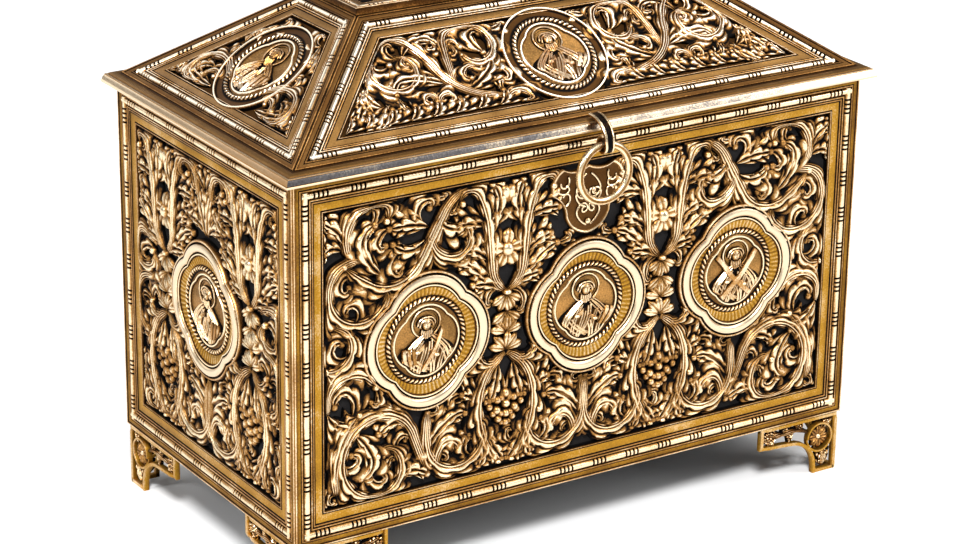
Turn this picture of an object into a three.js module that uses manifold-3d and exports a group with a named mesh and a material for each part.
// Reliquary casket of cast and gilt panels: a box with applied medallions, a hipped lid that lifts off,
// four pierced bracket feet, a lock plate, and a pull ring that hangs from a strap on the lid.
// Millimetres, +Z up, the front towards -Y.
import * as THREE from 'three';
import { mergeVertices } from 'three/addons/utils/BufferGeometryUtils.js';
import Module from 'manifold-3d';

const wasm = await Module();
wasm.setup();

// Box
const LENGTH = 240;
const DEPTH = 130;
const HEIGHT = 134;
const FOOT_HEIGHT = 24;
const GAP = 0.3;
const WALL = 5.4;
const BASE_THICKNESS = 2;

// Moulded frame round a wall: distances in from the edge, and depths below the face
const FRAME = [
  [0, 0], [3, 0.3], [3.4, 0.9], [4, 0.1], [5.8, 0.1],
  [6.4, 1], [8.2, 1.3], [8.6, 1.8], [12, 2.1], [12.5, 3.4],
];

// Lid
const RIM_OVERHANG = 4.2;
const RIM_WIDTH = 12.4;
const RIM_HEIGHT = 4.1;
// Section of the rim: distances in from its edge, and heights
const RIM_PROFILE = [
  [0.6, 0], [0, 0.9], [0, 2.6], [0.6, 3.6], [1.4, 3.9],
  [2.2, 3.3], [4, 3.5], [5.2, RIM_HEIGHT], [RIM_WIDTH, RIM_HEIGHT], [RIM_WIDTH, 0],
];
const SLOPE_INSET = 1.2;
const LID_RISE = 34.2;
const TOP_LENGTH = 136.2;
const TOP_DEPTH = 37.4;
const TOP_OVERHANG = 0.8;
const TOP_THICKNESS = 2.8;
const LID_WALL = 4.2;
const LID_FRAME_SCALE = 0.82;
const TOP_FRAME_SCALE = 0.55;

// Carving
const SEAT = 0.2;
const STEM_WIDTH = 3.6;
const STEM_HEIGHT = 2.8;
const STEM_TAPER = 0.6;
const LEAF_WIDTH = 5;
const LEAF_TIP = 0.3;
const LEAF_SWELL = 0.7;
const LEAF_HEIGHT = 2.4;
const STATION_STEP = 11;
const STATION_TURN = 60;
const PLAIN_STEP = 18;
const PLAIN_SHORTEST = 35;
const TOP_RELIEF = 0.6;
const BOSS = { radius: 6, height: 1.6, sides: 8 };

// Medallions
const MEDALLION_PITCH = 66.6;
const MEDALLION_LEVEL = 67.6;
const MEDALLION_REACH = 26;
const MEDALLION_HEIGHT = 3.6;
const LID_MEDALLION_REACH = 20;
const LID_MEDALLION_LEVEL = 28.4;
const NOTCH_SHARE = 0.875;
const LOBE_POINTS = 4;
const PLAIN_LOBE_POINTS = 3;
const FIELD_HEIGHT = 1.4;
// Band round a medallion: its edges in shares of the reach, and how far it dishes to its inner edge
const BAND_OUTER = 0.96;
const BAND_INNER = 0.82;
const BAND_DISH = 0.9;
const FIELD_SHARE = 0.76;
// Figure on a medallion, from the medallion's middle
const HALO = { level: 5, radius: 5.2, height: 0.6, sides: 6, top: 0.9 };
const HEAD = { across: 2.6, up: 3.4, height: 1.2, sides: 5 };
const ROBE = { level: -6.4, across: 8.6, up: 6, height: 1.4, sides: 6 };
const BAR_WIDTH = 2;
const BAR_HEIGHT = 1.8;
const CANDELABRUM_AXIS = MEDALLION_PITCH / 2;
const END_AXIS = 31.7;

// Feet
const WING = 37;
const WING_END = 9;
const TOE = 11;
const FOOT_SHEET = 2.2;
const FOOT_INSET = 0.8;
const ARCH_BEND = [12, 13];
const ROSETTE_HOLE = { along: 8.5, up: 14, radius: 4 };
const LEAF_HOLE = { start: [18, 18.5], low: [26, 16.5], end: [34, 18], high: [26, 22] };

// Lock plate, strap and ring
const LOCK_WIDTH = 31;
const LOCK_TOP = 120.4;
const LOCK_BOTTOM = 94.6;
const LOCK_THICKNESS = 2.2;
const LOCK_CLEARANCE = 1.04;
// Right side of the lock plate from its point up: each curve's bend and end, in shares of half its
// width and of its height
const LOCK_CURVES = [
  [0.45, -0.46, 0.6, -0.22],
  [0.6, 0, 1, 0.14],
  [1.05, 0.42, 0.72, 0.5],
  [0.4, 0.38, 0, 0.5],
];
const LOCK_SCROLL = { at: [-2, -5], heading: 190, runs: [[14, -130]] };
const LOCK_SINK = 0.7;
const STRAP_WIDTH = 5;
const STRAP_THICKNESS = 1.2;
// Middle line of the strap over the rim: out from the front face, and up from the foot of the lid
const STRAP_PATH = [[0.6, 0.9], [4.6, 0.4], [8.6, -2], [10.4, -5.2]];
const STRAP_STEPS = 6;
const EYE_OUT = 8;
const EYE_DROP = 3.5;
const EYE_RADIUS = 2.8;
const EYE_TURN = 280;
const EYE_STEPS = 7;
const RING_RADIUS = 10.4;
const RING_WIRE = 1.4;
const RING_STEPS = [5, 16];

// Finishes
const GILT = { color: 0xb98a45, roughness: 0.38, metalness: 1 };
const LID_GILT = { color: 0xa0743a, roughness: 0.42, metalness: 1 };
const POLISHED_GILT = { color: 0xe0c48c, roughness: 0.25, metalness: 1 };
const DARK_GILT = { color: 0x7a5a34, roughness: 0.45, metalness: 1 };

// Scrollwork. A row starts at a point, sets off at a heading in degrees, and follows runs of
// [length, turn in degrees]. Points are across and up from the middle of a panel's foot.

// Left half of a candelabrum, across from its own axis
const CANDELABRUM = [
  { at: [-1, 79.5], heading: 150, runs: [[13, -55], [30, 20], [8, 80]] },
  { at: [-8.5, 104], heading: 35, runs: [[18, 95]], leaf: true },
  { at: [-1, 56], heading: 205, runs: [[14, 45], [30, 55]] },
];
// Flower, fruit and husks up the axis of a candelabrum, the ends first
const CANDELABRUM_MOUNDS = [
  { level: 93.5, across: 5.5, up: 5.5, height: 3 },
  { level: 36, across: 5.5, up: 6, height: 2.8 },
  { level: 74, across: 6.5, up: 4.5, height: 2.6 },
  { level: 62, across: 6.5, up: 4.5, height: 2.6 },
];
const MOUND_SIDES = 5;
// The U-shaped scroll under a medallion, across from the same axis
const HANGING_SCROLL = [
  { at: [-31.5, 39], heading: 258, runs: [[14, 22], [24, 115], [11, 60]] },
];
// Left end of a long wall
const CORNER_SCROLLS = [
  { at: [-66, 18], heading: 111, runs: [[18, 0], [28, 110], [34, 125], [22, 120]] },
  { at: [-94, 37], heading: 320, runs: [[20, -110]], leaf: true },
  { at: [-103, 16], heading: 100, runs: [[26, -45]] },
  { at: [-51, 119], heading: 200, runs: [[12, 40], [18, 0], [22, -90], [10, -10]] },
  { at: [-95, 103], heading: 172, runs: [[12, 73], [26, 120], [12, 60]] },
  { at: [-98, 107], heading: 112, runs: [[22, -105], [10, -80]] },
  { at: [-63, 105], heading: 265, runs: [[15, 95], [12, 100]] },
  { at: [-86, 98], heading: 135, runs: [[20, -110]], leaf: true },
  { at: [-103, 79], heading: -10, runs: [[27, -170]] },
  { at: [-105, 48], heading: 108, runs: [[16, -95], [14, -65]] },
];
// Left half of an end wall
const END_SCROLLS = [
  { at: [-39, 80], heading: 145, runs: [[10, 40], [14, 110], [12, 90]] },
  { at: [-40, 65], heading: 165, runs: [[14, 70], [16, 85]] },
  { at: [-4, 106], heading: 85, runs: [[20, 140]] },
];
// Left half of a long lid slope
const LID_SCROLLS = [
  { at: [-26, 15], heading: 185, runs: [[16, -40], [14, -40], [12, 25], [34, 170], [18, 115]] },
  { at: [-41, 26], heading: 85, runs: [[12, -10], [20, -120], [15, -105]] },
];
// Row of curled leaf tips along the foot of a long lid slope
const LID_LEAF_ROW = { first: -84, pitch: 14, count: 4, level: 11, length: 9, heading: 65, turn: -75 };
// Left half of a short lid slope
const LID_END_SCROLLS = [
  { at: [-15, 16], heading: 140, runs: [[10, 25], [10, 50], [16, 130]] },
];
// Left half of the top panel
const TOP_SCROLLS = [
  { at: [-10, 19.5], heading: 200, runs: [[14, -40], [12, -60], [12, -120]] },
  { at: [-36, 16], heading: 200, runs: [[18, -80]], leaf: true },
];

const radians = THREE.MathUtils.degToRad;

// Solid of a closed geometry, for joins and cuts
function solid(geometry) {
  const bare = geometry.clone();
  bare.deleteAttribute('normal');
  bare.deleteAttribute('uv');
  const merged = mergeVertices(bare, 1e-4);
  const vertProperties = new Float32Array(merged.attributes.position.array);
  const triVerts = new Uint32Array(merged.index.array);
  return new wasm.Manifold(new wasm.Mesh({ numProp: 3, vertProperties, triVerts }));
}

function geometryOf(manifold) {
  const mesh = manifold.getMesh();
  const geometry = new THREE.BufferGeometry();
  geometry.setAttribute('position', new THREE.BufferAttribute(new Float32Array(mesh.vertProperties), 3));
  geometry.setIndex(new THREE.BufferAttribute(new Uint32Array(mesh.triVerts), 1));
  geometry.computeVertexNormals();
  return geometry;
}

function joined(solids) {
  return solids.reduce((whole, next) => whole.add(next));
}

// Triangles of a ring that lies flat in x and y
function flatCap(ring) {
  const contour = ring.map((point) => new THREE.Vector2(point.x, point.y));
  return THREE.ShapeUtils.triangulateShape(contour, []);
}

// Triangles of a convex ring in any plane
function fanCap(ring) {
  return ring.slice(2).map((point, i) => [0, i + 1, i + 2]);
}

// Closed body through rings of equal point counts. Without a cap the last ring joins the first.
function loft(rings, cap) {
  const count = rings[0].length;
  const total = count * rings.length;
  const steps = cap ? rings.length - 1 : rings.length;
  const index = [];
  for (let r = 0; r < steps; r += 1) {
    for (let i = 0; i < count; i += 1) {
      const a = r * count + i;
      const b = r * count + ((i + 1) % count);
      const c = (a + count) % total;
      const d = (b + count) % total;
      index.push(a, b, d, a, d, c);
    }
  }
  if (cap) {
    const last = total - count;
    cap(rings[0]).forEach(([a, b, c]) => index.push(a, c, b));
    cap(rings.at(-1)).forEach(([a, b, c]) => index.push(last + a, last + b, last + c));
  }
  const geometry = new THREE.BufferGeometry().setFromPoints(rings.flat());
  geometry.setIndex(index);
  return solid(geometry);
}

// Convex outline moved inwards, each side by its own distance
function inset(outline, distances) {
  const lines = outline.map((point, i) => {
    const next = outline[(i + 1) % outline.length];
    const along = next.clone().sub(point).normalize();
    const inward = new THREE.Vector2(-along.y, along.x);
    return { start: point.clone().addScaledVector(inward, distances[i]), along };
  });
  return lines.map((line, i) => {
    const before = lines.at(i - 1);
    const between = line.start.clone().sub(before.start);
    const share = between.cross(line.along) / before.along.cross(line.along);
    return before.start.clone().addScaledVector(before.along, share);
  });
}

function evenInset(outline, distance) {
  return inset(outline, outline.map(() => distance));
}

function level(outline, height) {
  return outline.map((point) => new THREE.Vector3(point.x, point.y, height));
}

// Four-sided outline, from the middle of its foot
function trapezium(foot, head, height) {
  return [
    new THREE.Vector2(-foot / 2, 0),
    new THREE.Vector2(foot / 2, 0),
    new THREE.Vector2(head / 2, height),
    new THREE.Vector2(-head / 2, height),
  ];
}

function scaledFrame(across, deep) {
  return FRAME.map(([distance, depth]) => [distance * across, depth * deep]);
}

// Panel cast in one with its moulded frame. Its edges lean in by the given distances at the inner face.
function framedPanel(outline, leans, wall, frame) {
  const rings = [level(inset(outline, leans), 0)];
  frame.forEach(([distance, depth]) => rings.push(level(evenInset(outline, distance), wall - depth)));
  return loft(rings, flatCap);
}

function groundOf(wall, frame) {
  return wall - frame.at(-1)[1];
}

// Points along a scroll, with their heading and their share of its length
function trace({ at, heading, runs }, step) {
  const whole = runs.reduce((sum, [length]) => sum + length, 0);
  const point = new THREE.Vector2(...at);
  const stations = [{ point: point.clone(), angle: radians(heading), share: 0 }];
  let angle = radians(heading);
  let done = 0;
  runs.forEach(([length, turn]) => {
    const count = Math.max(1, Math.round(length / step), Math.round(Math.abs(turn) / STATION_TURN));
    const bend = radians(turn) / count;
    for (let i = 0; i < count; i += 1) {
      const along = new THREE.Vector2(Math.cos(angle + bend / 2), Math.sin(angle + bend / 2));
      point.addScaledVector(along, length / count);
      angle += bend;
      done += length / count;
      stations.push({ point: point.clone(), angle, share: done / whole });
    }
  });
  return stations;
}

// Three-sided section across a ridge
function ridgeRing(point, angle, width, foot, crest) {
  const side = new THREE.Vector2(-Math.sin(angle), Math.cos(angle)).multiplyScalar(width / 2);
  return [
    new THREE.Vector3(point.x + side.x, point.y + side.y, foot),
    new THREE.Vector3(point.x, point.y, crest),
    new THREE.Vector3(point.x - side.x, point.y - side.y, foot),
  ];
}

// Raised ridge along a scroll: a stem that tapers to its tip, or a leaf that swells and closes
function ridge(row, ground, step, scale = 1) {
  const rings = trace(row, step).map(({ point, angle, share }) => {
    const bulge = LEAF_TIP + (1 - LEAF_TIP) * Math.sin(Math.PI * share ** LEAF_SWELL);
    const swell = row.leaf ? bulge : 1 - STEM_TAPER * share;
    const width = (row.leaf ? LEAF_WIDTH : STEM_WIDTH) * swell;
    const height = ((row.leaf ? LEAF_HEIGHT : STEM_HEIGHT) * (1 + swell) * scale) / 2;
    return ridgeRing(point, angle, width, ground, ground + height);
  });
  return loft(rings, fanCap);
}

function mirrored(row, axis) {
  const runs = row.runs.map(([length, turn]) => [length, -turn]);
  return { ...row, at: [2 * axis - row.at[0], row.at[1]], heading: 180 - row.heading, runs };
}

function withMirrors(rows, axis = 0) {
  return [...rows, ...rows.map((row) => mirrored(row, axis))];
}

function shifted(rows, across) {
  return rows.map((row) => ({ ...row, at: [row.at[0] + across, row.at[1]] }));
}

function lengthOf(row) {
  return row.runs.reduce((sum, [length]) => sum + length, 0);
}

// Low mound over an oval, with a flat top of the given share
function mound(x, y, across, up, base, height, sides, top = 0.5) {
  const ring = (share, z) => Array.from({ length: sides }, (_, i) => {
    const angle = (2 * Math.PI * (i + 0.5)) / sides;
    return new THREE.Vector3(x + across * share * Math.cos(angle), y + up * share * Math.sin(angle), z);
  });
  return loft([ring(1, base), ring(top, base + height)], flatCap);
}

function candelabrumMounds(axis, ground, plain) {
  const kept = plain ? CANDELABRUM_MOUNDS.slice(0, 2) : CANDELABRUM_MOUNDS;
  return kept.map(({ level: y, across, up, height }) => {
    return mound(axis, y, across, up, ground, height, MOUND_SIDES);
  });
}

// Outline of four lobes that meet at notches on the diagonals
function quatrefoil(reach, points = LOBE_POINTS) {
  const notch = (reach * NOTCH_SHARE) / Math.SQRT2;
  const offset = (reach ** 2 - 2 * notch ** 2) / (2 * (reach - notch));
  const radius = reach - offset;
  return Array.from({ length: 4 * points }, (_, i) => {
    const lean = ((i % points) / points - 0.5) * (Math.PI / 2);
    const angle = (Math.PI / 2) * Math.floor(i / points) + lean;
    const distance = offset * Math.cos(lean) + Math.sqrt(radius ** 2 - (offset * Math.sin(lean)) ** 2);
    return new THREE.Vector2(Math.cos(angle), Math.sin(angle)).multiplyScalar(distance);
  });
}

function prism(outline, x, y, bottom, top) {
  const at = (height) => outline.map((point) => new THREE.Vector3(point.x + x, point.y + y, height));
  return loft([at(bottom), at(top)], flatCap);
}

// Half-length haloed figure in low relief, with one or two bars for what it holds
function figure(scale, bars) {
  const oval = ({ level: y, across, up, height, sides, top }, base) => {
    return mound(0, y * scale, across * scale, up * scale, base, height, sides, top);
  };
  const halo = oval({ ...HALO, across: HALO.radius, up: HALO.radius }, FIELD_HEIGHT);
  const head = oval({ ...HEAD, level: HALO.level }, FIELD_HEIGHT + HALO.height);
  const robe = oval(ROBE, FIELD_HEIGHT);
  const staffs = bars.map(([x, y, heading, length]) => {
    const stations = trace({ at: [x * scale, y * scale], heading, runs: [[length * scale, 0]] }, length);
    const rings = stations.map(({ point, angle }) => {
      return ridgeRing(point, angle, BAR_WIDTH * scale, FIELD_HEIGHT, FIELD_HEIGHT + BAR_HEIGHT);
    });
    return loft(rings, fanCap);
  });
  return joined([halo, head, robe, ...staffs]);
}

// Applied medallion: a broad band round a sunk field
function medallion(reach, bars, points) {
  const rings = [
    level(quatrefoil(reach, points), 0),
    level(quatrefoil(reach * BAND_OUTER, points), MEDALLION_HEIGHT),
    level(quatrefoil(reach * BAND_INNER, points), MEDALLION_HEIGHT * BAND_DISH),
    level(quatrefoil(reach * FIELD_SHARE, points), FIELD_HEIGHT),
  ];
  return loft(rings, flatCap).add(figure(reach / MEDALLION_REACH, bars));
}

function seatOf(reach, x, y, ground, points) {
  return prism(quatrefoil(reach + GAP, points), x, y, ground - SEAT, ground + WALL);
}

// Outline of the lock plate: scrolled shoulders above a lobed point
function lockOutline() {
  const half = LOCK_WIDTH / 2;
  const height = LOCK_TOP - LOCK_BOTTOM;
  const side = new THREE.Path();
  side.moveTo(0, -height / 2);
  LOCK_CURVES.forEach(([bendX, bendY, x, y]) => {
    side.quadraticCurveTo(half * bendX, height * bendY, half * x, height * y);
  });
  const right = side.getPoints(2);
  const left = right.slice(1, -1).reverse().map((point) => new THREE.Vector2(-point.x, point.y));
  return [...right, ...left];
}

function lockPlate() {
  const foot = LOCK_THICKNESS - STEM_HEIGHT * LOCK_SINK;
  const ridges = withMirrors([LOCK_SCROLL]).map((row) => ridge(row, foot, STATION_STEP));
  return joined([prism(lockOutline(), 0, 0, 0, LOCK_THICKNESS), ...ridges]);
}

const casket = new THREE.Group();

function addMesh(parent, name, manifold, finish, x = 0, y = 0, z = 0) {
  const mesh = new THREE.Mesh(geometryOf(manifold), new THREE.MeshStandardMaterial(finish));
  mesh.name = name;
  mesh.position.set(x, y, z);
  parent.add(mesh);
}

// Group whose x runs across a panel, y up it and z out of it, with its origin at the inner face
function panelGroup(origin, across, up) {
  const group = new THREE.Group();
  const out = across.clone().cross(up);
  group.quaternion.setFromRotationMatrix(new THREE.Matrix4().makeBasis(across, up, out));
  group.position.copy(origin);
  casket.add(group);
  return group;
}

// Sides of the box as seen from outside: turn about the upright axis
const SIDES = [
  { name: 'front', turn: 0, long: true },
  { name: 'right', turn: 90, long: false },
  { name: 'back', turn: 180, long: true },
  { name: 'left', turn: 270, long: false },
];
// What each figure holds: start across and up, heading, and length
const STAFF = [[-3, -8, 60, 15]];
const BOOK = [[0, -6, 20, 7]];
const CROSS = [[-7, -7, 62, 15], [7, -7, 125, 14]];
const SCROLL = [[2, -8, 75, 11]];
const HELD = { left: STAFF, middle: BOOK, right: CROSS };

// Candelabra and hanging scrolls of a wall, with the scrolls of its ends, on both sides of its middle
function scrollsOfWall(long) {
  const axis = long ? -CANDELABRUM_AXIS : -END_AXIS;
  const inner = HANGING_SCROLL.map((row) => mirrored(row, 0));
  const unit = [...withMirrors(CANDELABRUM), ...inner, ...(long ? HANGING_SCROLL : [])];
  return withMirrors([...shifted(unit, axis), ...(long ? CORNER_SCROLLS : END_SCROLLS)]);
}

// Wall of the box with its carving and its medallions. Hidden walls keep only the main scrolls.
function addWall({ name, turn, long }) {
  const width = long ? LENGTH : DEPTH;
  const reach = (long ? DEPTH : LENGTH) / 2 - WALL;
  const across = new THREE.Vector3(Math.cos(radians(turn)), Math.sin(radians(turn)), 0).round();
  const up = new THREE.Vector3(0, 0, 1);
  const origin = across.clone().cross(up).multiplyScalar(reach).setZ(FOOT_HEIGHT);
  const group = panelGroup(origin, across, up);
  const plain = name === 'back' || name === 'right';
  const points = plain ? PLAIN_LOBE_POINTS : LOBE_POINTS;
  const ground = groundOf(WALL, FRAME);
  const axis = long ? CANDELABRUM_AXIS : END_AXIS;
  const outline = inset(trapezium(width, width, HEIGHT), [0, GAP, 0, GAP]);
  const panel = framedPanel(outline, [0, WALL, 0, WALL], WALL, FRAME);
  const rows = scrollsOfWall(long).filter((row) => !plain || lengthOf(row) > PLAIN_SHORTEST);
  const ridges = rows.map((row) => ridge(row, ground, plain ? PLAIN_STEP : STATION_STEP));
  const mounds = [-axis, axis].flatMap((x) => candelabrumMounds(x, ground, plain));
  const places = long ? { left: -MEDALLION_PITCH, middle: 0, right: MEDALLION_PITCH } : { middle: 0 };
  const seats = Object.values(places).map((x) => seatOf(MEDALLION_REACH, x, MEDALLION_LEVEL, ground, points));
  if (name === 'front') {
    const lockLevel = (LOCK_TOP + LOCK_BOTTOM) / 2;
    const outlineOfSeat = lockOutline().map((point) => point.multiplyScalar(LOCK_CLEARANCE));
    seats.push(prism(outlineOfSeat, 0, lockLevel, ground - SEAT, ground + WALL));
    addMesh(group, 'lock_plate', lockPlate(), DARK_GILT, 0, lockLevel, ground - SEAT + GAP);
  }
  const carved = seats.reduce((whole, seat) => whole.subtract(seat), joined([panel, ...ridges, ...mounds]));
  addMesh(group, `${name}_panel`, carved, GILT);
  Object.entries(places).forEach(([place, x]) => {
    const label = long ? `${name}_${place}_medallion` : `${name}_medallion`;
    const held = long ? HELD[place] : SCROLL;
    const disc = medallion(MEDALLION_REACH, plain ? [] : held, points);
    addMesh(group, label, disc, POLISHED_GILT, x, MEDALLION_LEVEL, ground - SEAT + GAP);
  });
}

const BODY_TOP = FOOT_HEIGHT + HEIGHT;
const RIM_BOTTOM = BODY_TOP + GAP;
const LID_BASE = RIM_BOTTOM + RIM_HEIGHT + GAP;
const LID_TOP = LID_BASE + LID_RISE;

function addRim() {
  const width = LENGTH + 2 * RIM_OVERHANG;
  const depth = DEPTH + 2 * RIM_OVERHANG;
  const outline = trapezium(width, width, depth);
  const rings = RIM_PROFILE.map(([distance, height]) => level(evenInset(outline, distance), height));
  addMesh(casket, 'lid_rim', loft(rings), POLISHED_GILT, 0, -depth / 2, RIM_BOTTOM);
}

// How far in and up each kind of lid slope goes, and how steeply
function slopeOf(long) {
  const run = long ? (DEPTH - TOP_DEPTH) / 2 - SLOPE_INSET : (LENGTH - TOP_LENGTH) / 2 - SLOPE_INSET;
  return { run, length: Math.hypot(run, LID_RISE), steepness: Math.atan2(LID_RISE, run) };
}

function leafRow() {
  const { first, pitch, count, level: up, length, heading, turn } = LID_LEAF_ROW;
  return Array.from({ length: count }, (_, i) => {
    return { at: [first + pitch * i, up], heading, runs: [[length, turn]], leaf: true };
  });
}

// Sloping lid panel with its carving and its medallion, mitred to its neighbours at the hips
function addSlope({ name, turn, long }) {
  const { run, length, steepness } = slopeOf(long);
  const across = new THREE.Vector3(Math.cos(radians(turn)), Math.sin(radians(turn)), 0).round();
  const inward = new THREE.Vector3(0, 0, 1).cross(across);
  const up = inward.clone().multiplyScalar(run).setZ(LID_RISE).normalize();
  const out = across.clone().cross(up);
  const edge = (long ? DEPTH : LENGTH) / 2 - SLOPE_INSET;
  const foot = inward.clone().multiplyScalar(-edge).setZ(LID_BASE);
  const group = panelGroup(foot.addScaledVector(out, -LID_WALL), across, up);
  const hipTurn = Math.acos(Math.cos(steepness) * Math.cos(slopeOf(!long).steepness));
  const hipLean = LID_WALL * Math.tan(hipTurn / 2);
  const footLean = LID_WALL / Math.tan(steepness);
  const footWidth = (long ? LENGTH : DEPTH) - 2 * SLOPE_INSET;
  const headWidth = long ? TOP_LENGTH : TOP_DEPTH;
  const frame = scaledFrame(LID_FRAME_SCALE, LID_FRAME_SCALE);
  const ground = groundOf(LID_WALL, frame);
  const outline = inset(trapezium(footWidth, headWidth, length), [0, GAP, 0, GAP]);
  const panel = framedPanel(outline, [footLean, hipLean, -footLean, hipLean], LID_WALL, frame);
  const plain = name === 'back' || name === 'right';
  const half = long ? [...LID_SCROLLS, ...(plain ? [] : leafRow())] : LID_END_SCROLLS;
  const ridges = withMirrors(half).map((row) => ridge(row, ground, plain ? PLAIN_STEP : STATION_STEP));
  const seat = seatOf(LID_MEDALLION_REACH, 0, LID_MEDALLION_LEVEL, ground, PLAIN_LOBE_POINTS);
  addMesh(group, `lid_${name}_panel`, joined([panel, ...ridges]).subtract(seat), LID_GILT);
  const held = long ? BOOK : SCROLL;
  const disc = medallion(LID_MEDALLION_REACH, plain ? [] : held, PLAIN_LOBE_POINTS);
  addMesh(group, `lid_${name}_medallion`, disc, LID_GILT, 0, LID_MEDALLION_LEVEL, ground - SEAT + GAP);
}

function addTop() {
  const width = TOP_LENGTH + 2 * TOP_OVERHANG;
  const depth = TOP_DEPTH + 2 * TOP_OVERHANG;
  const frame = scaledFrame(TOP_FRAME_SCALE, TOP_FRAME_SCALE);
  const ground = groundOf(TOP_THICKNESS, frame);
  const leans = Array(4).fill(TOP_OVERHANG);
  const panel = framedPanel(trapezium(width, width, depth), leans, TOP_THICKNESS, frame);
  const ridges = withMirrors(TOP_SCROLLS).map((row) => ridge(row, ground, STATION_STEP, TOP_RELIEF));
  const boss = mound(0, depth / 2, BOSS.radius, BOSS.radius, ground, BOSS.height, BOSS.sides);
  addMesh(casket, 'lid_top_panel', joined([panel, ...ridges, boss]), LID_GILT, 0, -depth / 2, LID_TOP + GAP);
}

function addBase() {
  const width = LENGTH - 2 * (WALL + GAP);
  const depth = DEPTH - 2 * (WALL + GAP);
  const plate = solid(new THREE.BoxGeometry(width, depth, BASE_THICKNESS));
  addMesh(casket, 'base_plate', plate, DARK_GILT, 0, 0, FOOT_HEIGHT + BASE_THICKNESS / 2);
}

// Wing of a foot: a bracket that arches from its toe to its end, pierced by a rosette and a leaf
function wing() {
  const bracket = new THREE.Shape();
  bracket.moveTo(0, 0);
  bracket.lineTo(TOE, 0);
  bracket.quadraticCurveTo(...ARCH_BEND, WING, FOOT_HEIGHT - WING_END);
  bracket.lineTo(WING, FOOT_HEIGHT - GAP);
  bracket.lineTo(0, FOOT_HEIGHT - GAP);
  const rosette = new THREE.Path();
  rosette.absarc(ROSETTE_HOLE.along, ROSETTE_HOLE.up, ROSETTE_HOLE.radius, 0, 2 * Math.PI);
  bracket.holes.push(rosette);
  const leaf = new THREE.Path();
  leaf.moveTo(...LEAF_HOLE.start);
  leaf.quadraticCurveTo(...LEAF_HOLE.low, ...LEAF_HOLE.end);
  leaf.quadraticCurveTo(...LEAF_HOLE.high, ...LEAF_HOLE.start);
  bracket.holes.push(leaf);
  return new THREE.ExtrudeGeometry(bracket, { depth: FOOT_SHEET, bevelEnabled: false, curveSegments: 3 });
}

function addFeet() {
  const along = wing().rotateX(Math.PI / 2).translate(0, FOOT_SHEET, 0);
  const beside = wing().rotateX(Math.PI / 2).rotateZ(Math.PI / 2);
  const foot = solid(along).add(solid(beside));
  const x = LENGTH / 2 - FOOT_INSET;
  const y = DEPTH / 2 - FOOT_INSET;
  const corners = [
    ['foot_front_left', -x, -y],
    ['foot_front_right', x, -y],
    ['foot_back_right', x, y],
    ['foot_back_left', -x, y],
  ];
  corners.forEach(([name, cornerX, cornerY], i) => {
    const group = new THREE.Group();
    group.position.set(cornerX, cornerY, 0);
    group.rotation.z = (i * Math.PI) / 2;
    casket.add(group);
    addMesh(group, name, foot, GILT);
  });
}

// Middle line of the whole strap: over the rim, down, and round the eye
function strapLine() {
  const eyeLevel = BODY_TOP - EYE_DROP;
  const sheet = new THREE.SplineCurve([
    ...STRAP_PATH.map(([out, up]) => new THREE.Vector2(out, LID_BASE + up)),
    new THREE.Vector2(EYE_OUT + EYE_RADIUS, eyeLevel),
  ]);
  const eye = Array.from({ length: EYE_STEPS }, (_, i) => {
    const angle = -radians((EYE_TURN * (i + 1)) / EYE_STEPS);
    return new THREE.Vector2(EYE_OUT + EYE_RADIUS * Math.cos(angle), eyeLevel + EYE_RADIUS * Math.sin(angle));
  });
  return [...sheet.getPoints(STRAP_STEPS), ...eye];
}

// Outline of a sheet of even thickness along a line
function sheetOutline(line, thickness) {
  const sides = line.map((point, i) => {
    const before = line[Math.max(i - 1, 0)];
    const after = line[Math.min(i + 1, line.length - 1)];
    const along = after.clone().sub(before).normalize();
    return new THREE.Vector2(-along.y, along.x).multiplyScalar(thickness / 2);
  });
  const upper = line.map((point, i) => point.clone().add(sides[i]));
  const lower = line.map((point, i) => point.clone().sub(sides[i]));
  return [...lower, ...upper.reverse()];
}

function addStrapAndRing() {
  const outline = new THREE.Shape(sheetOutline(strapLine(), STRAP_THICKNESS));
  const sheet = new THREE.ExtrudeGeometry(outline, { depth: STRAP_WIDTH, bevelEnabled: false });
  const group = panelGroup(
    new THREE.Vector3(STRAP_WIDTH / 2, -DEPTH / 2, 0),
    new THREE.Vector3(0, -1, 0),
    new THREE.Vector3(0, 0, 1),
  );
  addMesh(group, 'hasp_strap', solid(sheet), DARK_GILT);
  const ring = new THREE.TorusGeometry(RING_RADIUS, RING_WIRE, ...RING_STEPS).rotateX(Math.PI / 2);
  const ringLevel = BODY_TOP - EYE_DROP - RING_RADIUS;
  addMesh(casket, 'pull_ring', solid(ring), POLISHED_GILT, 0, -DEPTH / 2 - EYE_OUT, ringLevel);
}

SIDES.forEach(addWall);
addBase();
addFeet();
addRim();
SIDES.forEach(addSlope);
addTop();
addStrapAndRing();

// The origin is on the ground under the middle of the whole casket, strap and ring included
const middle = new THREE.Box3().setFromObject(casket, true).getCenter(new THREE.Vector3());
casket.position.y = -middle.y;

export default casket;
